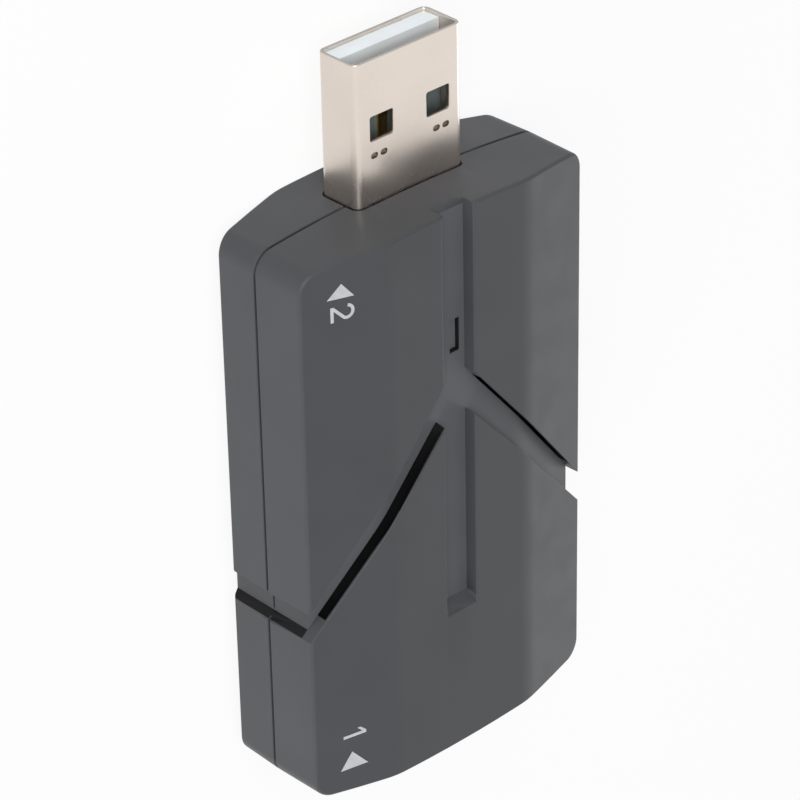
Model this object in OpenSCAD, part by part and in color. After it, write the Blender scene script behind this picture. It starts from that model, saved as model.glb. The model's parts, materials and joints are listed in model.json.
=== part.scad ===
// Video capture stick: a two-part moulded case with a host plug at one end, a video socket at the other
// and a populated circuit board between them. It lies on its back: +Y points out of the plug, +Z out of
// the front, and the origin is the middle of the flat strip along the back.

/* [Case] */
// Width across the straight sides
case_w = 32.3; // [31:0.1:40]
// Length of the straight sides
side_l = 51.7; // [50.5:0.1:60]
// How far each end bows out past the ends of the sides
end_rise = 1.0; // [0.5:0.1:2]
// Width of the flat strip along the middle of the front and of the back
flat_w = 16.1; // [14:0.1:19]
// Height of the parting line above the back
seam_h = 6.4; // [6.2:0.1:8]
// Height of the front above the parting line
front_h = 7.1; // [6.6:0.1:9]
// Height of the side walls above the parting line
side_front = 5.4; // [4.5:0.1:6]
// Height of the side walls below the parting line
side_back = 4.5; // [3.6:0.1:5]
// Radius of the four corners seen from the front
corner_r = 2.0; // [1.9:0.1:3.5]
// Thickness of the case walls
wall = 1.6; // [1.4:0.1:1.7]

/* [Seam] */
// Height of the locating lip on the back shell
lip_h = 0.8; // [0.5:0.1:1.2]
// Thickness of the locating lip
lip_t = 0.5; // [0.4:0.05:0.6]
// Clearance round the locating lip
lip_fit = 0.1; // [0.05:0.01:0.15]
// Width of the shadow line between the shells
seam_gap = 0.2; // [0.1:0.05:0.3]
// Depth of the shadow line
seam_depth = 0.3; // [0.2:0.05:0.4]

/* [Arrow recess] */
// Width of the straight stem
stem_w = 3.4; // [2.4:0.1:4]
// Distance of the stem's closed end below the middle of the case
stem_end = 11.8; // [11:0.1:15]
// Length of the ramp up to the front at the stem's closed end
ramp_l = 0.9; // [0.5:0.1:1.5]
// Length of the bevel that runs down over the plug's end of the stem
lead_l = 0.6; // [0.3:0.1:0.8]
// Height above the middle at which the upper edge of a branch leaves the stem
branch_top = 10.6; // [10:0.1:12]
// Height above the middle at which the lower edge of a branch leaves the stem
branch_bottom = 6.6; // [5:0.1:7.5]
// Distance below the middle at which the upper edge of a branch meets the side
notch_top = 6.7; // [6:0.1:7.5]
// Distance below the middle at which the lower edge of a branch meets the side
notch_bottom = 9.5; // [8.5:0.1:11]
// Depth of the recess in the front
recess_d = 1.2; // [0.8:0.05:1.3]
// Depth of the notch where a branch runs over the side
notch_d = 0.7; // [0.4:0.05:0.75]
// Width of the cooling vents behind the walls of the branches
vent_w = 0.9; // [0.6:0.1:1.1]
// Thickness of the front over a vent
vent_roof = 0.25; // [0.2:0.05:0.4]
// Distance of a vent's outer end from the side of the case
vent_end = 1.7; // [1.6:0.1:3]

/* [Indicator] */
// Distance of the light slot from the middle line
slot_x = 0.6; // [0:0.1:0.8]
// Distance of the light slot's middle above the middle of the case
slot_y = 14.1; // [13.2:0.1:15]
// Width of the light slot
slot_w = 1.05; // [0.9:0.05:1.3]
// Length of the light slot
slot_l = 3.1; // [2.4:0.1:3.6]
// Depth of the light guide's face below the floor of the recess
slot_d = 0.45; // [0.2:0.05:0.8]
// Clearance round the light guide
slot_fit = 0.05; // [0.03:0.01:0.1]
// Width of the light guide's flange past the guide on each side
flange_out = 0.8; // [0.5:0.1:1.0]
// Thickness of the light guide's flange
flange_t = 0.8; // [0.5:0.1:1.2]
// Gap between the light guide and the indicator lamp
lamp_gap = 0.3; // [0.1:0.1:0.6]

/* [Host plug] */
// Width of the plug's metal shell
plug_w = 12.0; // [11.8:0.1:12.2]
// Height of the plug's metal shell
plug_h = 4.5; // [4.4:0.1:4.6]
// Length of the plug outside the case
plug_out = 12.9; // [11.8:0.1:14]
// Length of the plug's shell inside the case
plug_in = 5.85; // [5:0.05:7]
// Distance of the plug's middle below the parting line
plug_drop = 0.7; // [0.3:0.1:0.8]
// Thickness of the plug's sheet metal
plug_sheet = 0.3; // [0.25:0.01:0.35]
// Radius of the plug's long edges
plug_edge_r = 0.7; // [0.5:0.05:1]
// Clearance between the plug and the case
plug_fit = 0.15; // [0.1:0.05:0.2]
// Width of a latch window
window_w = 2.5; // [2.2:0.1:2.8]
// Length of a latch window
window_l = 2.2; // [1.8:0.1:2.6]
// Distance between the middles of the two latch windows
window_pitch = 6.3; // [5.6:0.1:6.6]
// Distance from the plug's mouth to a latch window
window_in = 5.1; // [4.6:0.1:5.6]
// Thickness of the plug's contact tongue
tongue_t = 1.75; // [1.6:0.05:1.9]
// Distance of the tongue's end behind the plug's mouth
tongue_in = 0.3; // [0.2:0.05:0.6]
// Length of the insulator's solid rear block
plug_block_l = 8.5; // [7:0.1:9.5]
// Width of a plug contact
plug_pin_w = 1.0; // [0.8:0.05:1.2]
// Thickness of a plug contact
plug_pin_t = 0.2; // [0.15:0.01:0.25]
// Distance from the plug's mouth to the two outer contacts
plug_pin_in = 1.7; // [1.4:0.1:2]
// How much further in the two inner contacts start
plug_pin_step = 1.0; // [0.6:0.1:1.2]
// Distance between the two inner contacts
plug_pin_inner = 2.0; // [1.9:0.1:2.1]
// Distance from an inner contact to the outer one next to it
plug_pin_outer = 2.5; // [2.4:0.1:2.6]
// Width of the shell's solder legs
plug_leg_w = 1.6; // [1.2:0.1:2]

/* [Video socket] */
// Width of the socket's mouth
port_w = 14.0; // [13.9:0.05:14.1]
// Height of the socket's mouth
port_h = 4.55; // [4.5:0.05:4.6]
// Width of the mouth along its narrow edge
port_narrow_w = 11.2; // [10.6:0.1:11.6]
// Height of the mouth's upright sides
port_side_h = 2.9; // [2.6:0.1:3.1]
// Thickness of the socket's sheet metal
port_sheet = 0.4; // [0.3:0.05:0.45]
// Length of the socket's shell
port_l = 11.0; // [10.4:0.1:11.6]
// Distance of the mouth behind the middle of the case end
port_in = 0.4; // [0.3:0.05:0.6]
// Clearance between the socket and the case
port_fit = 0.15; // [0.1:0.05:0.2]
// Width of the socket's contact tongue
port_tongue_w = 10.4; // [10.2:0.1:10.8]
// Thickness of the socket's contact tongue
port_tongue_t = 0.9; // [0.8:0.05:1.1]
// Distance of the tongue's end behind the mouth
port_tongue_in = 0.8; // [0.5:0.1:1.2]
// Length of the insulator's solid rear block
port_block_l = 3.6; // [3:0.1:4.2]
// Distance between neighbouring contacts in one row
port_pitch = 1.0; // [0.98:0.01:1.02]
// Number of contacts in the upper row
port_upper_n = 10; // [10:1:10]
// Width of a socket contact
port_pin_w = 0.3; // [0.25:0.01:0.35]
// Thickness of a socket contact
port_pin_t = 0.12; // [0.1:0.01:0.15]
// Distance from the tongue's end to the contacts
port_pin_in = 0.4; // [0.3:0.1:0.8]
// Width of the shell's solder legs
port_leg_w = 1.2; // [0.8:0.1:1.6]
// Distance of the front pair of solder legs behind the mouth
port_leg_in = 3.7; // [3:0.1:4.4]

/* [Board] */
// Thickness of the circuit board
board_t = 1.2; // [1.0:0.1:1.3]
// Gap between the board and the case
board_gap = 0.3; // [0.2:0.05:0.4]
// Radius of a locating pin
pin_r = 0.75; // [0.6:0.05:0.9]
// Clearance round a locating pin
pin_fit = 0.1; // [0.05:0.01:0.15]
// Height of a locating pin above the board
pin_up = 0.7; // [0.5:0.1:1]
// Radius of a board support and of the tube that holds the board down on it
hold_r = 1.5; // [1.3:0.1:1.6]
// Distance of the supports from the board's long edges
hold_inset = 1.9; // [1.8:0.1:2.1]
// Distance of the supports from the plug's rear end
hold_plug = 4.0; // [3.8:0.1:4.4]
// Distance of the supports from the socket's rear end
hold_port = 2.6; // [2.4:0.1:2.9]
// How far solder legs stand out under the board
leg_out = 0.3; // [0.1:0.1:0.4]
// How far contact tails reach past the rear of their connector
tail_out = 0.3; // [0.2:0.1:0.5]
// Length of a contact tail's soldered foot
tail_foot = 0.9; // [0.6:0.1:1.1]

/* [Case pegs] */
// Radius of the four pegs that join the shells
peg_r = 0.9; // [0.7:0.05:1.1]
// Height of a peg above the parting line
peg_l = 3.0; // [2:0.1:3.5]
// Clearance round a peg
peg_fit = 0.05; // [0.02:0.01:0.08]
// Spare depth of a peg's socket
peg_spare = 0.4; // [0.2:0.1:0.6]
// Radius of the bosses that carry pegs and sockets
boss_r = 1.8; // [1.6:0.05:2]
// Gap between a boss and the side wall
boss_gap = 0.35; // [0.2:0.05:0.5]
// Distance of the pegs from the middle of the case, along the case
peg_y = 20.5; // [18:0.1:21.5]

/* [Board components] */
// Width of the capture chip
chip_w = 10.0; // [9:0.1:10.4]
// Thickness of the capture chip
chip_t = 1.4; // [1:0.1:2]
// Distance of the capture chip above the middle of the case
chip_y = 2.0; // [1.8:0.1:2.4]
// Distance between neighbouring leads of the capture chip
chip_pitch = 0.8; // [0.75:0.01:0.82]
// Number of leads along one side of the capture chip
chip_leads_n = 11; // [7:2:11]
// Width of the receiver chip
receiver_w = 4.8; // [4:0.1:5]
// Thickness of the receiver chip
receiver_t = 0.85; // [0.7:0.05:1.2]
// Length of the memory chip along its leads
memory_l = 4.6; // [4.4:0.1:4.8]
// Width of the memory chip between its leads
memory_w = 3.9; // [3.6:0.1:4]
// Thickness of the memory chip
memory_t = 1.4; // [1.2:0.1:1.7]
// Length of the crystal
crystal_l = 3.2; // [2.8:0.1:3.4]
// Width of the crystal
crystal_w = 2.5; // [2:0.1:2.6]
// Thickness of the crystal's ceramic base
crystal_base_t = 0.4; // [0.3:0.05:0.6]
// Thickness of the crystal's metal lid
crystal_lid_t = 0.4; // [0.3:0.05:0.6]
// Side length of the power inductor
inductor_w = 4.0; // [3.4:0.1:4.2]
// Height of the power inductor
inductor_t = 2.0; // [1.6:0.1:3]
// Length of the voltage regulator along its leads
regulator_l = 2.9; // [2.7:0.1:3.1]
// Width of the voltage regulator between its leads
regulator_w = 1.6; // [1.4:0.1:1.8]
// Thickness of the voltage regulator
regulator_t = 1.1; // [0.9:0.1:1.3]
// Length of the tantalum capacitor
tantalum_l = 3.5; // [3:0.1:3.8]
// Width of the tantalum capacitor
tantalum_w = 2.8; // [2.4:0.1:3]
// Height of the tantalum capacitor
tantalum_t = 1.9; // [1.6:0.1:2.4]
// Length of the resettable fuse
fuse_l = 3.2; // [2.8:0.1:3.4]
// Width of the resettable fuse
fuse_w = 1.6; // [1.4:0.1:1.8]
// Thickness of the resettable fuse
fuse_t = 0.7; // [0.5:0.1:1]
// Length of the indicator lamp
lamp_l = 1.6; // [1.4:0.1:1.8]
// Width of the indicator lamp
lamp_w = 0.8; // [0.7:0.1:1]
// Height of the indicator lamp
lamp_t = 0.7; // [0.5:0.1:0.9]
// Length of a small capacitor or resistor
small_l = 1.6; // [1.4:0.1:1.7]
// Width of a small capacitor or resistor
small_w = 0.8; // [0.7:0.05:0.9]
// Height of a small capacitor
cap_t = 0.8; // [0.6:0.05:1]
// Height of a small resistor
res_t = 0.45; // [0.35:0.05:0.6]
// Length of a soldered end on a small component
term_l = 0.35; // [0.25:0.05:0.45]
// Length of a surge protector
surge_l = 2.5; // [2.2:0.1:2.7]
// Width of a surge protector
surge_w = 1.0; // [0.8:0.1:1.1]
// Thickness of a surge protector
surge_t = 0.5; // [0.4:0.05:0.7]
// Thickness of a lead on any chip
lead_t = 0.15; // [0.12:0.01:0.2]
// Reach of a lead from the side of its chip
lead_reach = 1.1; // [1:0.05:1.2]
// Length of a lead's foot on the board
lead_foot = 0.55; // [0.4:0.05:0.65]
// Gap between a leaded chip's underside and the board
standoff = 0.1; // [0.05:0.01:0.2]
// Width of a lead on the capture chip
chip_lead_w = 0.3; // [0.2:0.01:0.4]
// Width of a lead on the memory chip
memory_lead_w = 0.42; // [0.35:0.01:0.5]
// Distance between neighbouring leads of the memory chip
memory_pitch = 1.27; // [1.2:0.01:1.3]
// Width of a lead on the voltage regulator
regulator_lead_w = 0.4; // [0.3:0.01:0.5]
// Distance between neighbouring leads of the voltage regulator
regulator_pitch = 0.95; // [0.9:0.01:1]

/* [Board layout] */
// Distance of the two columns of small components from the board's long edges
column_in = 1.7; // [1.3:0.1:2]
// Distance between neighbouring components in a column
column_pitch = 2.4; // [2.1:0.1:2.6]
// Number of components in a column
column_n = 5; // [3:2:5]
// Distance of the receiver chip and of the memory chip from the middle line
pair_x = 5.1; // [5:0.1:5.3]
// Distance of these two chips and of the crystal from the socket's rear end
pair_y = 6.9; // [6.6:0.1:7]
// Distance of the surge protectors from the middle line
surge_x = 2.6; // [1.6:0.1:3.5]
// Distance of the surge protectors from the socket's rear end
surge_y = 2.6; // [2.3:0.1:3]
// Distance of the inductor and of the tantalum capacitor from the middle line
power_x = 6.4; // [6:0.1:6.6]
// Distance of these two above the middle of the capture chip
power_y = 9.0; // [8.8:0.1:9.2]
// Distance of the voltage regulator from the middle line
regulator_x = 5.2; // [4.8:0.1:5.4]
// Distance of the voltage regulator above the tantalum capacitor
regulator_y = 3.4; // [3.2:0.1:3.5]
// Distance of the fuse from the middle line
fuse_x = 3.0; // [2:0.1:4]
// Distance of the fuse from the plug's rear end
fuse_y = 3.6; // [3:0.1:3.8]
// Distance of the lamp's resistor from the lamp
lamp_resistor_x = 2.6; // [2.2:0.1:3]

/* [Hidden] */

$fn = 48;
// Sides of the drawn circle behind the gently bowed ends
bow_fn = 720;
// Overshoot of a cut past the face that it opens
over = 1.0;
// Least corner radius that is left inside a wall
corner_min = 0.3;
// Clearance of a contact in its slot, and of an insulator in its shell
snug = 0.03;

half_w = case_w / 2;
half_flat = flat_w / 2;
case_t = seam_h + front_h;
end_y = side_l / 2 + end_rise;
bow_r = (half_w * half_w + end_rise * end_rise) / (2 * end_rise);
bow_y = end_y - bow_r;
back_tilt = atan((seam_h - side_back) / (half_w - half_flat));
front_tilt = atan((front_h - side_front) / (half_w - half_flat));

upper_slope = (branch_top + notch_top) / (half_w - stem_w / 2);
lower_slope = (branch_bottom + notch_bottom) / (half_w - stem_w / 2);

plug_z = seam_h - plug_drop;
plug_tip = end_y + plug_out;
plug_rear = end_y - plug_in;
plug_floor = plug_z - plug_h / 2 + plug_sheet;
tongue_top = plug_floor + snug + tongue_t;
// Places of the plug's four contacts across its width
plug_pin_x = [for (side = [-1, 1], outer = [0, plug_pin_outer]) side * (plug_pin_inner / 2 + outer)];

board_top = plug_z - plug_h / 2;
board_bottom = board_top - board_t;
peg_x = half_w - wall - boss_gap - boss_r;
board_half = min(back_inside_x(board_bottom), peg_x - boss_r) - board_gap;
board_end = bow_y + sqrt(pow(bow_r - wall, 2) - pow(board_half, 2)) - board_gap;

port_mouth = -end_y + port_in;
port_rear = port_mouth + port_l;
port_z = board_top + port_sheet + port_h / 2;
port_block_y = port_rear - port_block_l;
port_slant = atan((port_w - port_narrow_w) / 2 / (port_h - port_side_h));
port_tongue_top = port_z + port_tongue_t / 2;
port_tongue_low = port_z - port_tongue_t / 2 - port_pin_t;
// Places of the socket's contacts across its width, the lower row between those of the upper row
port_upper_x = [for (i = [0:port_upper_n - 1]) (i - (port_upper_n - 1) / 2) * port_pitch];
port_lower_x = [for (i = [0:port_upper_n - 2]) (i - (port_upper_n - 2) / 2) * port_pitch];

hold_x = board_half - hold_inset;
hold_ys = [plug_rear - hold_plug, port_rear + hold_port];

recess_floor = case_t - recess_d;
guide_w = slot_w - 2 * slot_fit;
guide_l = slot_l - 2 * slot_fit;
guide_top = recess_floor - slot_d;
ceiling = recess_floor - wall;
guide_bottom = board_top + lamp_t + lamp_gap;

memory_leads_n = 3;
regulator_leads_n = 3;

// Places of the components on the board
receiver_at = [-pair_x, port_rear + pair_y];
memory_at = [pair_x, port_rear + pair_y];
crystal_at = [(receiver_w - memory_w) / 2 - lead_reach, port_rear + pair_y];
surge_at = [for (side = [-1, 1]) [side * surge_x, port_rear + surge_y]];
inductor_at = [power_x, chip_y + power_y];
tantalum_at = [-power_x, chip_y + power_y];
regulator_at = [-regulator_x, chip_y + power_y + regulator_y];
fuse_at = [-fuse_x, plug_rear - fuse_y];
lamp_at = [slot_x, slot_y];
column_ys = [for (i = [0:column_n - 1]) chip_y + (i - (column_n - 1) / 2) * column_pitch];
cap_at = [for (y = column_ys) [board_half - column_in, y]];
res_at = [for (y = column_ys) [column_in - board_half, y], [slot_x + lamp_resistor_x, slot_y]];

// Distance from the middle line to the inside of the sloping back, at a height
function back_inside_x(z) = half_flat + (z - wall / cos(back_tilt)) / tan(back_tilt);
// Half-width of the flat strip on the case shrunk by an inset
function crease_x(inset, tilt) = half_flat - inset * tan(tilt / 2);
// Height from the outer flat to the edge of the side wall, on the case shrunk by an inset
function edge_h(inset, tilt) = inset / cos(tilt) + tan(tilt) * (half_w - inset - half_flat);
// Edges of a branch at a distance from the middle line, with the recess grown all round
function branch_up(x, grow) = branch_top + grow / cos(atan(upper_slope)) - upper_slope * (x - stem_w / 2);
function branch_low(x, grow) = branch_bottom - grow / cos(atan(lower_slope)) - lower_slope * (x - stem_w / 2);

// Outline of the case seen from the front, shrunk by an inset
module outline(inset) {
    w = half_w - inset;
    r = bow_r - inset;
    c = max(corner_r - inset, corner_min);
    cx = w - c;
    cy = bow_y + sqrt((r - c) * (r - c) - cx * cx);
    tx = cx * r / (r - c);
    intersection() {
        square([2 * tx, 2 * end_y], center = true);
        translate([0, bow_y]) circle(r, $fn = bow_fn);
        translate([0, -bow_y]) circle(r, $fn = bow_fn);
    }
    square([2 * w, 2 * cy], center = true);
    for (sx = [-1, 1], sy = [-1, 1])
        translate([sx * cx, sy * cy]) circle(c);
}

// Section of the case across its length, shrunk by an inset
module section(inset) {
    xb = crease_x(inset, back_tilt);
    xf = crease_x(inset, front_tilt);
    xs = half_w - inset;
    zb = edge_h(inset, back_tilt);
    zf = case_t - edge_h(inset, front_tilt);
    polygon([[-xb, inset], [xb, inset], [xs, zb], [xs, zf],
        [xf, case_t - inset], [-xf, case_t - inset], [-xs, zf], [-xs, zb]]);
}

// A flat shape drawn in X and Z, drawn out along Y
module along_y(y0, y1) {
    translate([0, y1, 0]) rotate([90, 0, 0]) linear_extrude(y1 - y0) children();
}

// A flat shape drawn in Y and Z, drawn out along X about the middle
module along_x(w) {
    rotate([90, 0, 90]) linear_extrude(w, center = true) children();
}

// Box that stands on a height, centred on a place
module block(at, size, z) {
    translate([at[0] - size[0] / 2, at[1] - size[1] / 2, z]) cube(size);
}

module case_solid(inset) {
    intersection() {
        linear_extrude(case_t) outline(inset);
        along_y(-end_y - over, end_y + over) section(inset);
    }
}

module slab(z0, z1) {
    block([0, 0], [case_w + 2 * over, 2 * end_y + 2 * over, z1 - z0], z0);
}

// Everything above the front sunk by a depth
module above_front(depth) {
    x = half_w + over;
    zs = case_t - depth - tan(front_tilt) * (x - half_flat);
    zf = case_t - depth;
    along_y(-end_y - over, end_y + over)
        polygon([[-x, zs], [-half_flat, zf], [half_flat, zf], [x, zs], [x, case_t + over], [-x, case_t + over]]);
}

// Arrow seen from the front, grown all round: a stem from the plug's end and a branch to each side
module arrow_outline(grow) {
    h = stem_w / 2 + grow;
    x = half_w + over;
    top = end_y + over;
    polygon([[h, top], [h, branch_up(h, grow)], [x, branch_up(x, grow)], [x, branch_low(x, grow)],
        [h, branch_low(h, grow)], [h, -stem_end - grow], [-h, -stem_end - grow],
        [-h, branch_low(h, grow)], [-x, branch_low(x, grow)], [-x, branch_up(x, grow)],
        [-h, branch_up(h, grow)], [-h, top]]);
}

// Ramp and bevel at the two ends of the stem
module stem_ends() {
    steep = recess_d / ramp_l;
    along_x(stem_w) {
        polygon([[-stem_end, recess_floor], [-stem_end, case_t + over],
            [-stem_end - ramp_l - over / steep, case_t + over]]);
        polygon([[end_y - lead_l, recess_floor], [end_y + over, recess_floor],
            [end_y + over, recess_floor - lead_l - over]]);
    }
}

// Slit under the front along a wall of a branch, from the inside of the case to the recess. ys gives the two
// long edges at the slit's inner end and at its outer end.
module vent(x0, x1, ys) {
    for (sx = [0, 1]) mirror([sx, 0, 0])
        difference() {
            translate([0, 0, ceiling - over]) linear_extrude(case_t)
                polygon([[x0, ys[0][0]], [x1, ys[1][0]], [x1, ys[1][1]], [x0, ys[0][1]]]);
            above_front(vent_roof);
        }
}

// Cooling vents behind both walls of each branch
module vents() {
    x0 = stem_w / 2;
    x1 = half_w - vent_end;
    vent(x0 + vent_w, x1, [for (x = [x0 + vent_w, x1]) [branch_up(x, -snug), branch_up(x, vent_w)]]);
    vent(x0 - snug, x1, [for (x = [x0 - snug, x1]) [branch_low(x, -snug), branch_low(x, vent_w)]]);
}

// Arrow-shaped recess sunk by a depth, grown all round
module arrow(depth, grow) {
    intersection() {
        linear_extrude(case_t + over) arrow_outline(grow);
        above_front(depth);
    }
}

// The branches run over the sides and cross both shells
module side_notches() {
    intersection() {
        translate([0, 0, -over]) linear_extrude(case_t + 2 * over) arrow_outline(0);
        for (sx = [-1, 1])
            block([sx * (half_w - notch_d + over), 0], [2 * over, side_l, case_t + 2 * over], -over);
    }
}

module plug_opening() {
    along_y(end_y - 2 * wall, end_y + over)
        translate([0, plug_z]) rounded(plug_w + 2 * plug_fit, plug_h + 2 * plug_fit, plug_edge_r + plug_fit);
}

module port_opening() {
    along_y(-end_y - over, -end_y + 2 * wall) port_outline(port_sheet + port_fit);
}

// Ring that follows the case outline between two insets
module rim(inset0, inset1, z0, z1) {
    translate([0, 0, z0]) linear_extrude(z1 - z0)
        difference() {
            outline(inset0);
            outline(inset1);
        }
}

module at_pegs(z) {
    for (sx = [-1, 1], sy = [-1, 1])
        translate([sx * peg_x, sy * peg_y, z]) children();
}

module at_holds(z) {
    for (sx = [-1, 1], y = hold_ys)
        translate([sx * hold_x, y, z]) children();
}

// Rectangle with round corners
module rounded(w, h, r) {
    square([w - 2 * r, h], center = true);
    square([w, h - 2 * r], center = true);
    for (sx = [-1, 1], sy = [-1, 1])
        translate([sx * (w / 2 - r), sy * (h / 2 - r)]) circle(r);
}

// Mouth of the video socket, grown all round
module port_outline(grow) {
    x = port_w / 2 + grow;
    xn = port_narrow_w / 2 + grow * tan((90 - port_slant) / 2);
    z1 = port_h / 2 + grow;
    zk = port_h / 2 - port_side_h - grow * tan(port_slant / 2);
    translate([0, port_z])
        polygon([[-x, z1], [-x, zk], [-xn, -z1], [xn, -z1], [x, zk], [x, z1]]);
}

// Contact strip with a tail that drops to a foot on the board. A positive turn runs the tail towards -Y.
module contact(x, w, t, tip, rear, z, turn) {
    back = rear - turn * tail_out;
    translate([x, 0, 0]) along_x(w)
        polygon([[tip, z], [tip, z + t], [back - turn * t, z + t], [back - turn * t, board_top + t],
            [back - turn * (t + tail_foot), board_top + t], [back - turn * (t + tail_foot), board_top],
            [back, board_top], [back, z]]);
}

// Straight slot for a contact through an insulator
module contact_slot(x, w, t, y0, y1, z) {
    block([x, (y0 + y1) / 2], [w + 2 * snug, y1 - y0, t + 2 * snug], z - snug);
}

// Row of bent leads along both sides of a chip that is w wide between them
module lead_rows(at, w, pitch, n, lead_w, t) {
    z = standoff + t / 2;
    knee = lead_reach - lead_foot;
    for (turn = [0, 180], i = [0:n - 1])
        translate([at[0], at[1], board_top]) rotate([0, 0, turn])
            translate([w / 2, (i - (n - 1) / 2) * pitch, 0]) rotate([90, 0, 0])
                linear_extrude(lead_w, center = true)
                    polygon([[0, z], [knee, z], [knee, 0], [lead_reach, 0], [lead_reach, lead_t],
                        [knee + lead_t, lead_t], [knee + lead_t, z + lead_t], [0, z + lead_t]]);
}

// Body of a small component between its two soldered ends, which lie along the board
module small_body(at, size) {
    block(at, [size[0], size[1] - 2 * term_l, size[2]], board_top);
}

module small_ends(at, size) {
    for (sy = [-1, 1])
        block([at[0], at[1] + sy * (size[1] - term_l) / 2], [size[0], term_l, size[2]], board_top);
}

module front_shell() color([0.30, 0.30, 0.31]) difference() {
    union() {
        difference() {
            intersection() {
                case_solid(0);
                slab(seam_h, case_t);
            }
            difference() {
                case_solid(wall);
                arrow(recess_d + wall, wall);
            }
        }
        intersection() {
            case_solid(0);
            union() {
                at_pegs(seam_h) cylinder(h = front_h, r = boss_r);
                at_holds(board_top) cylinder(h = case_t - board_top, r = hold_r);
            }
        }
    }
    arrow(recess_d, 0);
    stem_ends();
    vents();
    side_notches();
    plug_opening();
    port_opening();
    rim(-over, seam_depth, seam_h - over, seam_h + seam_gap);
    rim(wall - lip_t - lip_fit, wall, seam_h - over, seam_h + lip_h + lip_fit);
    at_pegs(seam_h - over) cylinder(h = over + peg_l + peg_spare, r = peg_r + peg_fit);
    at_holds(board_top - over) cylinder(h = over + pin_up + peg_spare, r = pin_r + pin_fit);
    block([slot_x, slot_y], [slot_w, slot_l, case_t], ceiling - over);
}

module back_shell() color([0.28, 0.28, 0.29]) difference() {
    union() {
        difference() {
            intersection() {
                case_solid(0);
                slab(0, seam_h);
            }
            case_solid(wall);
        }
        rim(wall - lip_t, wall, seam_h - lip_h, seam_h + lip_h);
        intersection() {
            case_solid(0);
            union() {
                at_pegs(0) cylinder(h = seam_h, r = boss_r);
                at_pegs(0) cylinder(h = seam_h + peg_l, r = peg_r);
                at_holds(0) cylinder(h = board_bottom, r = hold_r);
                at_holds(0) cylinder(h = board_top + pin_up, r = pin_r);
            }
        }
    }
    side_notches();
    plug_opening();
    port_opening();
}

module light_guide() color([0.75, 0.78, 0.80]) {
    block([slot_x, slot_y], [guide_w, guide_l, guide_top - guide_bottom], guide_bottom);
    block([slot_x, slot_y], [guide_w + 2 * flange_out, guide_l + 2 * flange_out, flange_t], ceiling - flange_t);
}

module circuit_board() color([0.10, 0.33, 0.17]) difference() {
    block([0, 0], [2 * board_half, 2 * board_end, board_t], board_bottom);
    at_holds(board_bottom - over) cylinder(h = board_t + 2 * over, r = pin_r + pin_fit);
    plug_legs(plug_fit);
    port_legs(port_fit);
}

// Solder legs of the plug's shell, grown all round
module plug_legs(grow) {
    for (sx = [-1, 1])
        block([sx * (plug_w - plug_sheet) / 2, plug_rear + plug_in / 2 - plug_leg_w],
            [plug_sheet + 2 * grow, plug_leg_w + 2 * grow, plug_z - board_bottom + leg_out], board_bottom - leg_out);
}

module plug_shell() color([0.86, 0.82, 0.79]) {
    difference() {
        along_y(plug_rear, plug_tip) translate([0, plug_z]) rounded(plug_w, plug_h, plug_edge_r);
        along_y(plug_rear - over, plug_tip + over) translate([0, plug_z])
            rounded(plug_w - 2 * plug_sheet, plug_h - 2 * plug_sheet, plug_edge_r - plug_sheet);
        for (sx = [-1, 1])
            block([sx * window_pitch / 2, plug_tip - window_in - window_l / 2],
                [window_w, window_l, plug_h + 2 * over], board_top - over);
    }
    plug_legs(0);
}

module plug_insulator() color([0.93, 0.94, 0.95]) {
    w = plug_w - 2 * plug_sheet - 2 * snug;
    h = plug_h - 2 * plug_sheet - 2 * snug;
    r = plug_edge_r - plug_sheet - snug;
    difference() {
        along_y(plug_rear, plug_tip - tongue_in) translate([0, plug_z]) rounded(w, h, r);
        block([0, plug_tip], [plug_w, 2 * (plug_out + plug_in - plug_block_l), plug_h], tongue_top);
        for (x = plug_pin_x)
            contact_slot(x, plug_pin_w, plug_pin_t, plug_rear - over, plug_tip - plug_block_l, tongue_top);
    }
}

module plug_contacts() color([0.83, 0.66, 0.28]) {
    for (x = plug_pin_x) {
        tip = plug_tip - plug_pin_in - (abs(x) < plug_pin_inner ? plug_pin_step : 0);
        contact(x, plug_pin_w, plug_pin_t, tip, plug_rear, tongue_top, 1);
    }
}

// Solder legs of the socket's shell, grown all round
module port_legs(grow) {
    for (sx = [-1, 1], y = [port_mouth + port_leg_in, port_rear - port_leg_w])
        block([sx * (port_w + port_sheet) / 2, y],
            [port_sheet + 2 * grow, port_leg_w + 2 * grow, port_z - board_bottom + leg_out], board_bottom - leg_out);
}

module port_shell() color([0.78, 0.78, 0.79]) {
    difference() {
        along_y(port_mouth, port_rear) port_outline(port_sheet);
        along_y(port_mouth - over, port_rear + over) port_outline(0);
    }
    port_legs(0);
}

module port_insulator() color([0.10, 0.10, 0.10]) {
    difference() {
        along_y(port_block_y, port_rear) port_outline(-snug);
        for (x = port_upper_x)
            contact_slot(x, port_pin_w, port_pin_t, port_block_y - over, port_rear + over, port_tongue_top);
        for (x = port_lower_x)
            contact_slot(x, port_pin_w, port_pin_t, port_block_y - over, port_rear + over, port_tongue_low);
    }
    along_y(port_mouth + port_tongue_in, port_rear - port_block_l / 2)
        translate([0, port_z]) square([port_tongue_w, port_tongue_t - 2 * snug], center = true);
}

module port_contacts_upper() color([0.83, 0.66, 0.28])
    for (x = port_upper_x)
        contact(x, port_pin_w, port_pin_t, port_mouth + port_tongue_in + port_pin_in, port_rear, port_tongue_top, -1);

module port_contacts_lower() color([0.83, 0.66, 0.28])
    for (x = port_lower_x)
        contact(x, port_pin_w, port_pin_t, port_mouth + port_tongue_in + port_pin_in, port_rear, port_tongue_low, -1);

module capture_chip() color([0.09, 0.09, 0.10])
    block([0, chip_y], [chip_w, chip_w, chip_t], board_top + standoff);

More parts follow.
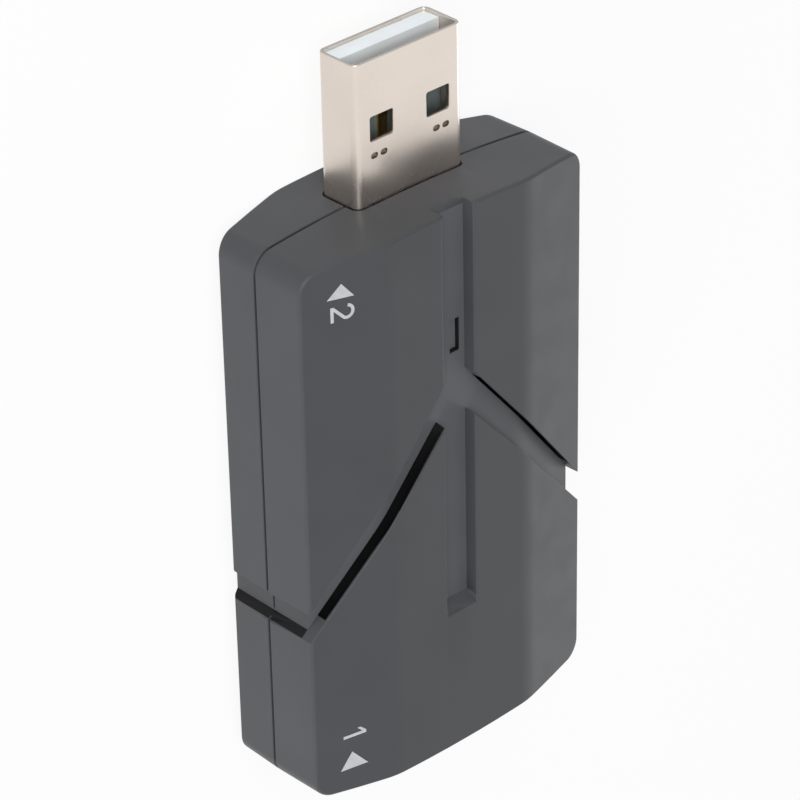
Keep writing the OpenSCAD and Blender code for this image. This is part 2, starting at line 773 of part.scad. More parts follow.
module capture_chip_leads() color([0.80, 0.80, 0.82])
    translate([0, chip_y, 0]) for (turn = [0, 90]) rotate([0, 0, turn])
        lead_rows([0, 0], chip_w, chip_pitch, chip_leads_n, chip_lead_w, chip_t);

module receiver_chip() color([0.09, 0.09, 0.10])
    block(receiver_at, [receiver_w, receiver_w, receiver_t], board_top);

module memory_chip() color([0.09, 0.09, 0.10])
    block(memory_at, [memory_w, memory_l, memory_t], board_top + standoff);

module memory_chip_leads() color([0.80, 0.80, 0.82])
    lead_rows(memory_at, memory_w, memory_pitch, memory_leads_n, memory_lead_w, memory_t);

module crystal_base() color([0.35, 0.30, 0.24])
    block(crystal_at, [crystal_w, crystal_l, crystal_base_t], board_top);

module crystal_lid() color([0.80, 0.79, 0.75])
    block(crystal_at, [crystal_w - term_l, crystal_l - term_l, crystal_lid_t], board_top + crystal_base_t);

module power_inductor() color([0.22, 0.22, 0.23])
    block(inductor_at, [inductor_w, inductor_w, inductor_t], board_top);

module voltage_regulator() color([0.09, 0.09, 0.10])
    block(regulator_at, [regulator_w, regulator_l, regulator_t], board_top + standoff);

module regulator_leads() color([0.80, 0.80, 0.82])
    lead_rows(regulator_at, regulator_w, regulator_pitch, regulator_leads_n, regulator_lead_w, regulator_t);

module tantalum_capacitor() color([0.86, 0.62, 0.16])
    small_body(tantalum_at, [tantalum_w, tantalum_l, tantalum_t]);

module tantalum_terminals() color([0.80, 0.80, 0.82])
    small_ends(tantalum_at, [tantalum_w, tantalum_l, tantalum_t]);

module resettable_fuse() color([0.12, 0.36, 0.20])
    small_body(fuse_at, [fuse_w, fuse_l, fuse_t]);

module fuse_terminals() color([0.80, 0.80, 0.82])
    small_ends(fuse_at, [fuse_w, fuse_l, fuse_t]);

module indicator_lamp() color([0.92, 0.93, 0.88])
    small_body(lamp_at, [lamp_w, lamp_l, lamp_t]);

module lamp_terminals() color([0.80, 0.80, 0.82])
    small_ends(lamp_at, [lamp_w, lamp_l, lamp_t]);

module ceramic_capacitors() color([0.66, 0.52, 0.38])
    for (at = cap_at) small_body(at, [small_w, small_l, cap_t]);

module capacitor_terminals() color([0.80, 0.80, 0.82])
    for (at = cap_at) small_ends(at, [small_w, small_l, cap_t]);

module resistors() color([0.12, 0.12, 0.13])
    for (at = res_at) small_body(at, [small_w, small_l, res_t]);

module resistor_terminals() color([0.80, 0.80, 0.82])
    for (at = res_at) small_ends(at, [small_w, small_l, res_t]);

module surge_protectors() color([0.09, 0.09, 0.10])
    for (at = surge_at) block(at, [surge_l, surge_w, surge_t], board_top);

front_shell();
back_shell();
light_guide();
circuit_board();
plug_shell();
plug_insulator();
plug_contacts();
port_shell();
port_insulator();
port_contacts_upper();
port_contacts_lower();
capture_chip();
capture_chip_leads();
receiver_chip();
memory_chip();
memory_chip_leads();
crystal_base();
crystal_lid();
power_inductor();
voltage_regulator();
regulator_leads();
tantalum_capacitor();
tantalum_terminals();
resettable_fuse();
fuse_terminals();
indicator_lamp();
lamp_terminals();
ceramic_capacitors();
capacitor_terminals();
resistors();
resistor_terminals();
surge_protectors();
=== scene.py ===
"""Looks of the video capture stick, in metres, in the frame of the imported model.

Finer meshes stand for the case shells, the plug, the socket and the light guide. Every other node keeps
its solid and gets the material of its slot. Shapes are drawn in millimetres and scaled once, when a piece
is finished.
"""

import json
import math

import bmesh
import bpy
from mathutils import Matrix, Vector


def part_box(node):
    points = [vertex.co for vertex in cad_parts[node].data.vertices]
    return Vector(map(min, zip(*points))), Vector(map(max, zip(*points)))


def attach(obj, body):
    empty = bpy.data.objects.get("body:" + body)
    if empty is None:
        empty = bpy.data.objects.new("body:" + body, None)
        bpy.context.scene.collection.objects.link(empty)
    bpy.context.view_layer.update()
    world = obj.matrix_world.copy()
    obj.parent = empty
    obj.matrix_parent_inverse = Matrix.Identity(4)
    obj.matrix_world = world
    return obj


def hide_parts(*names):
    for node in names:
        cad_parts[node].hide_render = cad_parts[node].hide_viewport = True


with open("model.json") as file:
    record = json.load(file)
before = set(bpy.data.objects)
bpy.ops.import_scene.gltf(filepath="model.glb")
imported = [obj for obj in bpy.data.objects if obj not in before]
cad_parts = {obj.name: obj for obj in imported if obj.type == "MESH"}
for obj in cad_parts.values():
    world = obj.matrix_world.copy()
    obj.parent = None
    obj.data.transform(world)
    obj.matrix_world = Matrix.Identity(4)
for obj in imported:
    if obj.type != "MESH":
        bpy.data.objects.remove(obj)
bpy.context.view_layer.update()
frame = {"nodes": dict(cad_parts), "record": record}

MM = 0.001


def box_mm(node):
    """Lowest and highest corner of a node, in millimetres."""
    low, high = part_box(node)
    return low / MM, high / MM


# Case
CASE_HIGH = box_mm("front_shell")[1]
HALF_W = CASE_HIGH.x
END_Y = CASE_HIGH.y
CASE_T = CASE_HIGH.z
END_RISE = 1.0
HALF_FLAT = 8.05
SEAM_Z = 6.4
SIDE_FRONT_Z = 11.8
SIDE_BACK_Z = 1.9
CORNER_R = 2.0
CORNER_STEPS = 12
BOW_R = (HALF_W ** 2 + END_RISE ** 2) / (2 * END_RISE)
BOW_Y = END_Y - BOW_R
FRONT_SLOPE = (CASE_T - SIDE_FRONT_Z) / (HALF_W - HALF_FLAT)
BACK_SLOPE = SIDE_BACK_Z / (HALF_W - HALF_FLAT)

# Finish of the moulded edges: skin is how far a finer mesh lies inside its solid
SKIN = 0.01
MERGE = SKIN / 20
SMOOTH_ANGLE = 35
BEVEL_ANGLE = 40
DRAFT = 0.1
RIM_R = 0.3
RIM_STEPS = 6
CREASE = 1.0
CREASE_HALF_STEPS = 4
SOFT = 0.07
SEAM_GAP = 0.2
SEAM_DEPTH = 0.3
LIP_IN = 0.95
PAST = 1.0
MOUTH_DEPTH = 3.0

# Arrow recess, the notches at its ends and the vents behind its branches
STEM_HALF = 1.7
STEM_END = 11.8
UP_AT_STEM = 10.6
UP_AT_SIDE = -6.7
LOW_AT_STEM = 6.6
LOW_AT_SIDE = -9.5
RECESS_D = 1.2
NOTCH_D = 0.7
EDGE_R = 0.12
EDGE_SPREAD = 1.3 * EDGE_R
UP_SLOPE = (UP_AT_STEM - UP_AT_SIDE) / (HALF_W - STEM_HALF)
LOW_SLOPE = (LOW_AT_STEM - LOW_AT_SIDE) / (HALF_W - STEM_HALF)
WALL = 1.6
VENT_W = 0.9
VENT_ROOF = 0.25
VENT_POST = 0.25
CEILING = 10.7

# Print on the left slope: a number and a pointer at each end, with the tops of the numbers toward +X
PRINT_PROUD = 0.015
PRINT_SUNK = 0.05
STROKE = 0.28
ARC_STEPS = 12
DIGIT_W = 1.4
DIGIT_H = 2.2
DIGIT_X = -13.25
FIRST_DIGIT_Y = -19.7
SECOND_DIGIT_Y = 22.3
PRINT_POINTERS = [
    [(-12.2, 24.25), (-13.55, 23.05), (-11.05, 22.85)],
    [(-12.45, -22.0), (-13.6, -23.7), (-10.95, -23.7)],
]

# Light slot in the floor of the recess
SLOT_X = 0.6
SLOT_Y = 14.1
SLOT_W = 1.05
SLOT_L = 3.1
SLOT_DEPTH = 2

# Host plug
PLUG_LOW, PLUG_HIGH = box_mm("plug_shell")
PLUG_TIP = PLUG_HIGH.y
PLUG_REAR = PLUG_LOW.y
PLUG_W = 12.0
PLUG_H = 4.5
PLUG_Z = PLUG_HIGH.z - PLUG_H / 2
PLUG_SHEET = 0.3
PLUG_EDGE_R = 0.7
PLUG_FIT = 0.15
PLUG_RIM = 0.1
LEG_W = 1.6
LEG_Y = PLUG_REAR + (END_Y - PLUG_REAR) / 2 - LEG_W
WINDOW_W = 2.5
WINDOW_L = 2.2
WINDOW_X = 3.15
WINDOW_Y = PLUG_TIP - 6.2
SHADE_DEPTH = 3.4
DIMPLE_XS = (2.95, 4.0)
DIMPLE_Y = PLUG_TIP - 8.65
DIMPLE_W = 0.75
DIMPLE_L = 0.5
DIMPLE_D = 0.2
DIMPLE_SLANT = 0.02

# Video socket
PORT_LOW, PORT_HIGH = box_mm("port_shell")
PORT_MOUTH = PORT_LOW.y
PORT_REAR = PORT_HIGH.y
PORT_W = 14.0
PORT_H = 4.55
PORT_NARROW_W = 11.2
PORT_SIDE_H = 2.9
PORT_SHEET = 0.4
PORT_FIT = 0.15
PORT_Z = PORT_HIGH.z - PORT_SHEET - PORT_H / 2
PORT_SLANT = math.atan((PORT_W - PORT_NARROW_W) / 2 / (PORT_H - PORT_SIDE_H))
PORT_CORNER_R = 0.25
PORT_RIM = 0.12
PORT_LEG_W = 1.2
PORT_LEG_YS = (PORT_MOUTH + 3.7, PORT_REAR - 1.2)

# Bevels of the pieces that keep their solid's form
PLUG_BEVEL = 0.12
PORT_BEVEL = 0.06
GUIDE_BEVEL = 0.04


def fall(x, slope):
    """Depth of a sloping face below its middle strip, with the crease rounded off."""
    past = abs(x) - HALF_FLAT
    if past <= -CREASE:
        return 0.0
    if past >= CREASE:
        return slope * past
    return slope * (past + CREASE) ** 2 / (4 * CREASE)


def front_z(x):
    """Height of the front at a distance from the middle line."""
    return CASE_T - fall(x, FRONT_SLOPE)


def back_z(x):
    """Height of the back at a distance from the middle line."""
    return fall(x, BACK_SLOPE)


def bow(x):
    """Distance of a bowed end from the middle of the case."""
    return BOW_Y + math.sqrt(BOW_R ** 2 - x ** 2)


def branch_up(x, grow):
    """Upper edge of a branch of the arrow, which may be grown all round."""
    return UP_AT_STEM + grow * math.hypot(1, UP_SLOPE) - UP_SLOPE * (x - STEM_HALF)


def branch_low(x, grow):
    """Lower edge of a branch of the arrow, which may be grown all round."""
    return LOW_AT_STEM - grow * math.hypot(1, LOW_SLOPE) - LOW_SLOPE * (x - STEM_HALF)


# Places across a bowed end where the outline has points, the creases among them
CREASE_STEPS = [HALF_FLAT + CREASE * k / CREASE_HALF_STEPS
                for k in range(CREASE_HALF_STEPS, -CREASE_HALF_STEPS - 1, -1)]
SLOPE_XS = [12.0, 10.0]
STRIP_XS = [6.0, 4.0, 2.0]
HALF_XS = SLOPE_XS + CREASE_STEPS + STRIP_XS
END_XS = HALF_XS + [0.0] + [-x for x in reversed(HALF_XS)]


def case_outline(inset):
    """Points round the case seen from the front, shrunk by an inset. Every inset gives the same count."""
    r = BOW_R - inset
    c = CORNER_R - inset
    cx = HALF_W - CORNER_R
    cy = BOW_Y + math.sqrt((r - c) ** 2 - cx ** 2)
    lean = math.atan2(cy - BOW_Y, cx)
    turns = [lean * i / CORNER_STEPS for i in range(CORNER_STEPS + 1)]
    corner = [(cx + c * math.cos(a), cy + c * math.sin(a)) for a in turns]
    end = [(x, BOW_Y + math.sqrt(r ** 2 - x ** 2)) for x in END_XS]
    upper = corner + end + [(-x, y) for x, y in reversed(corner)]
    return upper + [(-x, -y) for x, y in upper]


def case_ring(inset, height):
    """The case outline at a height that may vary across the case."""
    return [Vector((x, y, height(x))) for x, y in case_outline(inset)]


def flat_ring(inset, z):
    """The case outline at one height."""
    return case_ring(inset, lambda x: z)


def rounded_rect(w, h, r, steps=6):
    """Points round a rectangle with round corners."""
    points = []
    for turn, (sx, sy) in enumerate(((1, 1), (-1, 1), (-1, -1), (1, -1))):
        for i in range(steps + 1):
            a = (turn + i / steps) * math.pi / 2
            points.append((sx * (w / 2 - r) + r * math.cos(a), sy * (h / 2 - r) + r * math.sin(a)))
    return points


def filleted(corners, r, steps=5):
    """Points round a convex outline with its corners rounded off."""
    points = []
    for i, corner in enumerate(corners):
        at = Vector(corner)
        before = (Vector(corners[i - 1]) - at).normalized()
        after = (Vector(corners[(i + 1) % len(corners)]) - at).normalized()
        half = before.angle(after) / 2
        middle = at + (before + after).normalized() * r / math.sin(half)
        start = at + before * r / math.tan(half) - middle
        stop = at + after * r / math.tan(half) - middle
        for k in range(steps + 1):
            points.append(tuple(middle + r * start.slerp(stop, k / steps)))
    return points


def port_points(grow, r):
    """Mouth of the video socket, grown all round, with round corners."""
    x = PORT_W / 2 + grow
    narrow = PORT_NARROW_W / 2 + grow * math.tan((math.pi / 2 - PORT_SLANT) / 2)
    high = PORT_H / 2 + grow
    knee = PORT_H / 2 - PORT_SIDE_H - grow * math.tan(PORT_SLANT / 2)
    corners = [(-x, high), (-x, knee), (-narrow, -high), (narrow, -high), (x, knee), (x, high)]
    return filleted(corners, r)


def loft(bm, rings, closed=False):
    """Joins rings of equal count with faces and returns their vertices."""
    rows = [[bm.verts.new(p) for p in ring] for ring in rings]
    pairs = list(zip(rows, rows[1:]))
    if closed:
        pairs.append((rows[-1], rows[0]))
    for low, high in pairs:
        for i in range(len(low)):
            j = (i + 1) % len(low)
            bm.faces.new((low[i], low[j], high[j], high[i]))
    return rows


def cap_case(bm, row):
    """Closes a ring of the case with strips that bend only along the creases."""
    half = len(row) // 2
    first = CORNER_STEPS + 1
    last = first + len(END_XS) - 1
    for k in range(first, last):
        across = half + first + last - k
        bm.faces.new((row[k], row[k + 1], row[across - 1], row[across]))
    bm.faces.new(row[half + last:] + row[:first + 1])
    bm.faces.new(row[last:half + first + 1])


def to_object(name, bm):
    """Makes an object of a closed mesh whose faces all look outwards."""
    bmesh.ops.recalc_face_normals(bm, faces=bm.faces)
    mesh = bpy.data.meshes.new(name)
    bm.to_mesh(mesh)
    bm.free()
    obj = bpy.data.objects.new(name, mesh)
    bpy.context.scene.collection.objects.link(obj)
    return obj


def loft_solid(bm, rings):
    """Adds a closed solid through rings of equal count, with ends that may be bent or hollow in outline."""
    rows = loft(bm, rings)
    ends = [bm.faces.new(rows[0]), bm.faces.new(rows[-1])]
    for end in ends:
        end.normal_update()
    bmesh.ops.triangulate(bm, faces=ends)


def lofted(name, rings):
    """Object with one lofted solid."""
    bm = bmesh.new()
    loft_solid(bm, rings)
    return to_object(name, bm)


def solid_copy(node):
    """Copy of a node's solid in millimetres, with its faces joined."""
    bm = bmesh.new()
    bm.from_mesh(frame["nodes"][node].data)
    bmesh.ops.scale(bm, vec=(1 / MM,) * 3, verts=bm.verts)
    bmesh.ops.remove_doubles(bm, verts=bm.verts, dist=MERGE)
    return to_object(node + "_copy", bm)


def combine(obj, other, operation):
    """Cuts, joins or overlaps obj with another solid, which is used up."""
    modifier = obj.modifiers.new("combine", "BOOLEAN")
    modifier.operation = operation
    modifier.solver = "MANIFOLD"
    modifier.object = other
    graph = bpy.context.evaluated_depsgraph_get()
    mesh = bpy.data.meshes.new_from_object(obj.evaluated_get(graph))
    obj.modifiers.clear()
    spent = [obj.data, other.data]
    obj.data = mesh
    bpy.data.objects.remove(other)
    for used in spent:
        bpy.data.meshes.remove(used)
    return obj


def finish_piece(obj, material, node=None):
    """Scales a piece to metres, shades it and puts it on the body."""
    bm = bmesh.new()
    bm.from_mesh(obj.data)
    bmesh.ops.remove_doubles(bm, verts=bm.verts, dist=MERGE)
    bmesh.ops.dissolve_degenerate(bm, edges=bm.edges, dist=MERGE)
    bmesh.ops.scale(bm, vec=(MM,) * 3, verts=bm.verts)
    bm.to_mesh(obj.data)
    bm.free()
    obj.data.shade_smooth()
    obj.data.set_sharp_from_angle(angle=math.radians(SMOOTH_ANGLE))
    weighted = obj.modifiers.new("normals", "WEIGHTED_NORMAL")
    weighted.keep_sharp = True
    weighted.weight = 100
    obj.data.materials.clear()
    obj.data.materials.append(material)
    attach(obj, "root")
    if node:
        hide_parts(node)
    return obj


def rim_rings(height, toward):
    """Rings round the rim of a face: up a drafted wall and over a rounded edge."""
    rings = []
    for i in range(RIM_STEPS + 1):
        a = math.pi / 2 * i / RIM_STEPS
        inset = SKIN + DRAFT + RIM_R * (1 - math.cos(a))
        sunk = SKIN + RIM_R * (1 - math.sin(a))
        rings.append(case_ring(inset, lambda x: height(x) + toward * sunk))
    return rings


def front_body():
    """Outer form of the front shell above the seam's shadow line."""
    bm = bmesh.new()
    groove = SEAM_Z + SEAM_GAP + SKIN
    deep = SEAM_DEPTH + SKIN
    rings = [flat_ring(deep, SIDE_BACK_Z), flat_ring(deep, groove), flat_ring(SKIN + SOFT, groove),
             flat_ring(SKIN, groove + SOFT)]
    rows = loft(bm, rings + rim_rings(front_z, -1))
    bm.faces.new(rows[0])
    cap_case(bm, rows[-1])
    return to_object("front_shell_moulding", bm)


def back_body():
    """Outer form of the back shell, with room for the lip and the pegs above the seam."""
    bm = bmesh.new()
    seam = SEAM_Z - SKIN
    rings = [flat_ring(LIP_IN, CASE_T), flat_ring(LIP_IN, seam), flat_ring(SKIN + SOFT, seam),
             flat_ring(SKIN, seam - SOFT)]
    rows = loft(bm, rings + rim_rings(back_z, 1))
    bm.faces.new(rows[0])
    cap_case(bm, rows[-1])
    return to_object("back_shell_moulding", bm)


def arrow_ring(grow, depth):
    """The arrow at a depth below the front, grown all round, with points at the creases."""
    h = STEM_HALF + grow
    xs = [h] + CREASE_STEPS[::-1] + [HALF_W + PAST]
    upper = [(x, branch_up(x, grow)) for x in xs]
    lower = [(x, branch_low(x, grow)) for x in xs]
    top = END_Y + PAST
    foot = -STEM_END - grow
    right = upper + lower[::-1] + [(h, foot)]
    left = [(-h, foot)] + [(-x, y) for x, y in lower] + [(-x, y) for x, y in upper[::-1]]
    points = right + left + [(-h, top), (h, top)]
    return [Vector((x, y, front_z(x) - depth)) for x, y in points]


def cap_arrow(bm, row):
    """Closes a ring of the arrow: the middle as one face, and strips along the branches."""
    count = len(CREASE_STEPS) + 2
    right = row[:2 * count]
    left = row[2 * count + 2:4 * count + 2]
    middle = right[:2] + right[-2:] + row[2 * count:2 * count + 2] + left[:2] + left[-2:] + row[-2:]
    bm.faces.new(middle)
    for side in (right, left):
        for k in range(1, count - 1):
            bm.faces.new((side[k], side[k + 1], side[-k - 2], side[-k - 1]))


def arrow_cutter():
    """Arrow-shaped recess with a slight draft and rounded upper edges."""
    bm = bmesh.new()
    sides = [(0.0, RECESS_D + SKIN), (EDGE_R / 3, EDGE_R), (EDGE_R / 2, EDGE_R / 2.5), (EDGE_SPREAD, 0.0),
             (EDGE_SPREAD, -PAST)]
    rows = loft(bm, [arrow_ring(grow, depth) for grow, depth in sides])
    cap_arrow(bm, rows[0])
    cap_arrow(bm, rows[-1])
    return to_object("arrow_cutter", bm)


def notch_ring(side, inset, grow, z0, z1):
    """Section of a side notch at an inset from the side of the case."""
    x = HALF_W - inset
    up = branch_up(x, grow)
    low = branch_low(x, grow)
    return [Vector((side * x, y, z)) for y, z in ((up, z0), (up, z1), (low, z1), (low, z0))]


def notch_cutter(side):
    """Notch where a branch of the arrow runs over a side, with rounded outer edges."""
    sides = [(NOTCH_D + SKIN, 0.0), (EDGE_R, 0.0), (EDGE_R / 3, EDGE_R / 3), (0.0, EDGE_R), (-PAST, EDGE_R)]
    rings = [notch_ring(side, inset, grow, -PAST, CASE_T + PAST) for inset, grow in sides]
    return lofted("notch_cutter", rings)


def notch_seam_cutter(side):
    """The seam's shadow line on the floor of a side notch."""
    reach = (NOTCH_D + SEAM_GAP, NOTCH_D - SEAM_GAP)
    rings = [notch_ring(side, inset, -SOFT, SEAM_Z - SKIN, SEAM_Z + SEAM_GAP) for inset in reach]
    return lofted("notch_seam_cutter", rings)


def slot_cutter():
    """Softened rim of the light slot."""
    floor = CASE_T - RECESS_D
    sides = [(SKIN, floor - SLOT_DEPTH), (SKIN, floor - SOFT), (SOFT, floor), (SOFT, floor + PAST)]
    rings = []
    for grow, z in sides:
        points = rounded_rect(SLOT_W + 2 * grow, SLOT_L + 2 * grow, SOFT + grow, 3)
        rings.append([Vector((SLOT_X + x, SLOT_Y + y, z)) for x, y in points])
    return lofted("slot_cutter", rings)


def mouth_cutter(points, end):
    """Opening through an end of the case with a softened rim. points gives its outline grown all round."""
    sides = [(SKIN, MOUTH_DEPTH), (SKIN, SOFT), (SOFT, 0.0), (SOFT, -PAST)]
    rings = []
    for grow, depth in sides:
        rings.append([Vector((x, end * (bow(x) - depth), z)) for x, z in points(grow)])
    return lofted("mouth_cutter", rings)


def plug_mouth(grow):
    """Opening for the plug, in X and Z."""
    around = 2 * (PLUG_FIT + grow)
    points = rounded_rect(PLUG_W + around, PLUG_H + around, PLUG_EDGE_R + PLUG_FIT + grow)
    return [(x, PLUG_Z + z) for x, z in points]


def port_mouth(grow):
    """Opening for the socket, in X and Z."""
    points = port_points(PORT_SHEET + PORT_FIT + grow, SOFT + grow)
    return [(x, PORT_Z + z) for x, z in points]


def vent_post(side):
    """Thin post between a lower vent and the stem, which closes the stem's wall."""
    xs = (STEM_HALF - SOFT, STEM_HALF + VENT_POST)
    far = [(side * x, branch_low(x, VENT_W + SOFT)) for x in xs]
    near = [(side * x, branch_low(x, -SOFT)) for x in reversed(xs)]
    levels = (CEILING + SOFT, CASE_T - VENT_ROOF + SOFT)
    return lofted("vent_post", [[Vector((x, y, z)) for x, y in far + near] for z in levels])


def case_shell(body, cutters, fillers, node, material):
    """Cuts the openings into a shell's outer form and gives it the inside of its solid and the fillers."""
    for cutter in cutters:
        combine(body, cutter, "DIFFERENCE")
    for end, points in ((1, plug_mouth), (-1, port_mouth)):
        combine(body, mouth_cutter(points, end), "DIFFERENCE")
    for side in (-1, 1):
        combine(body, notch_cutter(side), "DIFFERENCE")
    solid = solid_copy(node)
    for filler in fillers:
        combine(solid, filler, "UNION")
    combine(body, solid, "INTERSECT")
    return finish_piece(body, material, node)


def in_vent(x, y, depth):
    """Whether a face lies in a vent or deeper in the case than the recess, behind the outer walls, where
    shade is painted.
    """
    if x > HALF_W - WALL or abs(y) > END_Y - WALL or depth > front_z(x) - back_z(x) - WALL / 2:
        return False
    if depth > RECESS_D + SOFT:
        return True
    beyond = y > branch_up(x, SOFT) or y < branch_low(x, -SKIN)
    return beyond and depth > VENT_ROOF and x > STEM_HALF + SOFT


def on_notch_wall(x, y, depth, facing):
    """Whether a face is the lower wall of a side notch, below the recess, where shade is painted."""
    if x < HALF_W - NOTCH_D - SOFT or depth < RECESS_D:
        return False
    return abs(y - branch_low(x, 0.0)) < SOFT and facing.y > 0.5


def paint_recess_light_and_shade(shell, floor, inside):
    """Paints light on the floor of the recess with a lighter copy of the case plastic, and paints shade with
    a near-black plastic on the vents, the case's inside and the notches' lower walls.
    """
    shell.data.materials.append(floor)
    shell.data.materials.append(inside)
    for face in shell.data.polygons:
        at = face.center / MM
        x = abs(at.x)
        depth = front_z(x) - at.z
        # Painted light: the recess floor gets a lighter copy of the case plastic, against the shade of the
        # recess
        if abs(depth - RECESS_D) < SOFT and face.normal.z > 0.9:
            face.material_index = 1
        # Painted shade: near-black plastic in the vents, deep inside the case and on the notches' lower walls
        elif on_notch_wall(x, at.y, depth, face.normal) or in_vent(x, at.y, depth):
            face.material_index = 2


def plug_ring(grow, y):
    """Section of the plug's metal shell, grown all round."""
    points = rounded_rect(PLUG_W + 2 * grow, PLUG_H + 2 * grow, PLUG_EDGE_R + grow, 8)
    return [Vector((x, y, PLUG_Z + z)) for x, z in points]


def sleeve(name, ring, sheet, rim, mouth, rear):
    """Sheet metal sleeve whose mouth has a rounded rim. ring gives its section grown all round."""
    inward = 1 if rear > mouth else -1
    bevel = [(rim * (1 - math.cos(a)), rim * (1 - math.sin(a))) for a in (0, math.pi / 4, math.pi / 2)]
    sides = [(0.0, rear)] + [(-inset, mouth + inward * back) for inset, back in bevel]
    sides += [(inset - sheet, mouth + inward * back) for inset, back in reversed(bevel)] + [(-sheet, rear)]
    bm = bmesh.new()
    loft(bm, [ring(grow, y) for grow, y in sides], closed=True)
    return to_object(name, bm)


def leg(x, y, w, t, z0, z1):
    """Solder leg of a metal shell."""
    ring = rounded_rect(t, w, t / 4, 2)
    return lofted("leg", [[Vector((x + dx, y + dy, z)) for dx, dy in ring] for z in (z0, z1)])


def window_cutter(side):
    """Latch window through both broad walls of the plug, with softened edges."""
    top = PLUG_Z + PLUG_H / 2
    low = PLUG_Z - PLUG_H / 2
    lip = PLUG_SHEET / 3
    sides = [(lip / 2, top + PAST), (lip / 2, top), (0.0, top - lip), (0.0, low + lip), (lip / 2, low),
             (lip / 2, low - PAST)]
    rings = []
    for grow, z in sides:
        points = rounded_rect(WINDOW_W + 2 * grow, WINDOW_L + 2 * grow, PLUG_SHEET / 2 + grow, 4)
        rings.append([Vector((side * WINDOW_X + x, WINDOW_Y + y, z)) for x, y in points])
    return lofted("window_cutter", rings)


def dimple_cutter(x):
    """Shallow dimple pressed into the front wall of the plug."""
    top = PLUG_Z + PLUG_H / 2
    sides = [(DIMPLE_SLANT, top + PAST), (DIMPLE_SLANT, top), (0.0, top - DIMPLE_D)]
    rings = []
    for grow, z in sides:
        points = rounded_rect(DIMPLE_W + 2 * grow, DIMPLE_L + 2 * grow, DIMPLE_L / 2 + grow, 4)
        rings.append([Vector((x + dx, DIMPLE_Y + dy, z)) for dx, dy in points])
    return lofted("dimple_cutter", rings)


def paint_dimples(shell, material):
    """Gives the faces of the pressed dimples a darker, brownish metal of their own."""
    shell.data.materials.append(material)
    top = PLUG_Z + PLUG_H / 2
    flat_half = PLUG_W / 2 - PLUG_EDGE_R
    for face in shell.data.polygons:
        at = face.center / MM
        sunk = SKIN < top - at.z < DIMPLE_D + SKIN
        if sunk and abs(at.y - DIMPLE_Y) < DIMPLE_L and abs(at.x) < flat_half:
            face.material_index = 1


def plug_shell(material, pressed):
    """Metal shell of the host plug with its latch windows, pressed dimples and solder legs."""
    shell = sleeve("plug_shell_formed", plug_ring, PLUG_SHEET, PLUG_RIM, PLUG_TIP, PLUG_REAR)
    for side in (-1, 1):
        combine(shell, window_cutter(side), "DIFFERENCE")
        for x in DIMPLE_XS:
            combine(shell, dimple_cutter(side * x), "DIFFERENCE")
        x = side * (PLUG_W - PLUG_SHEET) / 2
        combine(shell, leg(x, LEG_Y, LEG_W, PLUG_SHEET - 2 * SKIN, PLUG_LOW.z, PLUG_Z), "UNION")
    finish_piece(shell, material, "plug_shell")
    paint_dimples(shell, pressed)


def port_ring(grow, y):
    """Section of the socket's metal shell, grown from its outer face."""
    points = port_points(PORT_SHEET + grow, PORT_CORNER_R + PORT_SHEET + grow)
    return [Vector((x, y, PORT_Z + z)) for x, z in points]


def port_shell(material):
    """Metal shell of the video socket with its solder legs."""
    shell = sleeve("port_shell_formed", port_ring, PORT_SHEET, PORT_RIM, PORT_MOUTH, PORT_REAR)
    x = (PORT_W + PORT_SHEET) / 2
    for side in (-1, 1):
        for y in PORT_LEG_YS:
            combine(shell, leg(side * x, y, PORT_LEG_W, PORT_SHEET - 2 * SKIN, PORT_LOW.z, PORT_Z), "UNION")
    finish_piece(shell, material, "port_shell")


def softened(node, material, width):
    """Copy of a node's solid with its sharp edges taken off, which stands for the node."""
    obj = solid_copy(node)
    obj.name = node + "_moulded"
    bevel = obj.modifiers.new("edges", "BEVEL")
    bevel.width = width
    bevel.segments = 2
    bevel.limit_method = "ANGLE"
    bevel.angle_limit = math.radians(BEVEL_ANGLE)
    graph = bpy.context.evaluated_depsgraph_get()
    mesh = bpy.data.meshes.new_from_object(obj.evaluated_get(graph))
    obj.modifiers.clear()
    obj.data = mesh
    finish_piece(obj, material, node)


def arc(cx, cy, r, start, stop):
    """Points along an arc, with angles in degrees."""
    turns = [math.radians(start + (stop - start) * i / ARC_STEPS) for i in range(ARC_STEPS + 1)]
    return [(cx + r * math.cos(a), cy + r * math.sin(a)) for a in turns]


def band(inner, outer):
    """Outline of a stroke between two rows of points."""
    return outer + inner[::-1]


def digit_one():
    """Post with a slanted flag."""
    post = DIGIT_W / 3
    flag = [(0, DIGIT_H - 1.8 * STROKE), (0, DIGIT_H - 3 * STROKE), (post, DIGIT_H - 1.3 * STROKE)]
    return [[(post, 0), (post + STROKE, 0), (post + STROKE, DIGIT_H), (post, DIGIT_H)] + flag]


def digit_two():
    """Hook that runs down to a bar."""
    r = DIGIT_W / 2
    rows = [arc(r, DIGIT_H - r, radius, 170, -25) for radius in (r - STROKE, r)]
    feet = ((0, STROKE), (1.35 * STROKE, STROKE))
    hook = band(*[row + [foot] for row, foot in zip(rows, feet)])
    return [hook, [(0, 0), (DIGIT_W, 0), (DIGIT_W, STROKE), (0, STROKE)]]


def add_print_patch(bm, points):
    """Thin flat patch of ink on the slope of the front."""
    levels = (-PRINT_SUNK, PRINT_PROUD)
    loft_solid(bm, [[Vector((x, y, front_z(x) + lift)) for x, y in points] for lift in levels])


def front_print(material):
    """Pointers and numbers printed on the left slope, read from the plug's end."""
    bm = bmesh.new()
    for points in PRINT_POINTERS:
        add_print_patch(bm, points)
    for patches, y in ((digit_one(), FIRST_DIGIT_Y), (digit_two(), SECOND_DIGIT_Y)):
        for patch in patches:
            add_print_patch(bm, [(DIGIT_X + v, y - u) for u, v in patch])
    finish_piece(to_object("front_print", bm), material)


# Middle of the range that a noise texture gives
NOISE_LOW = 0.3
NOISE_HIGH = 0.7


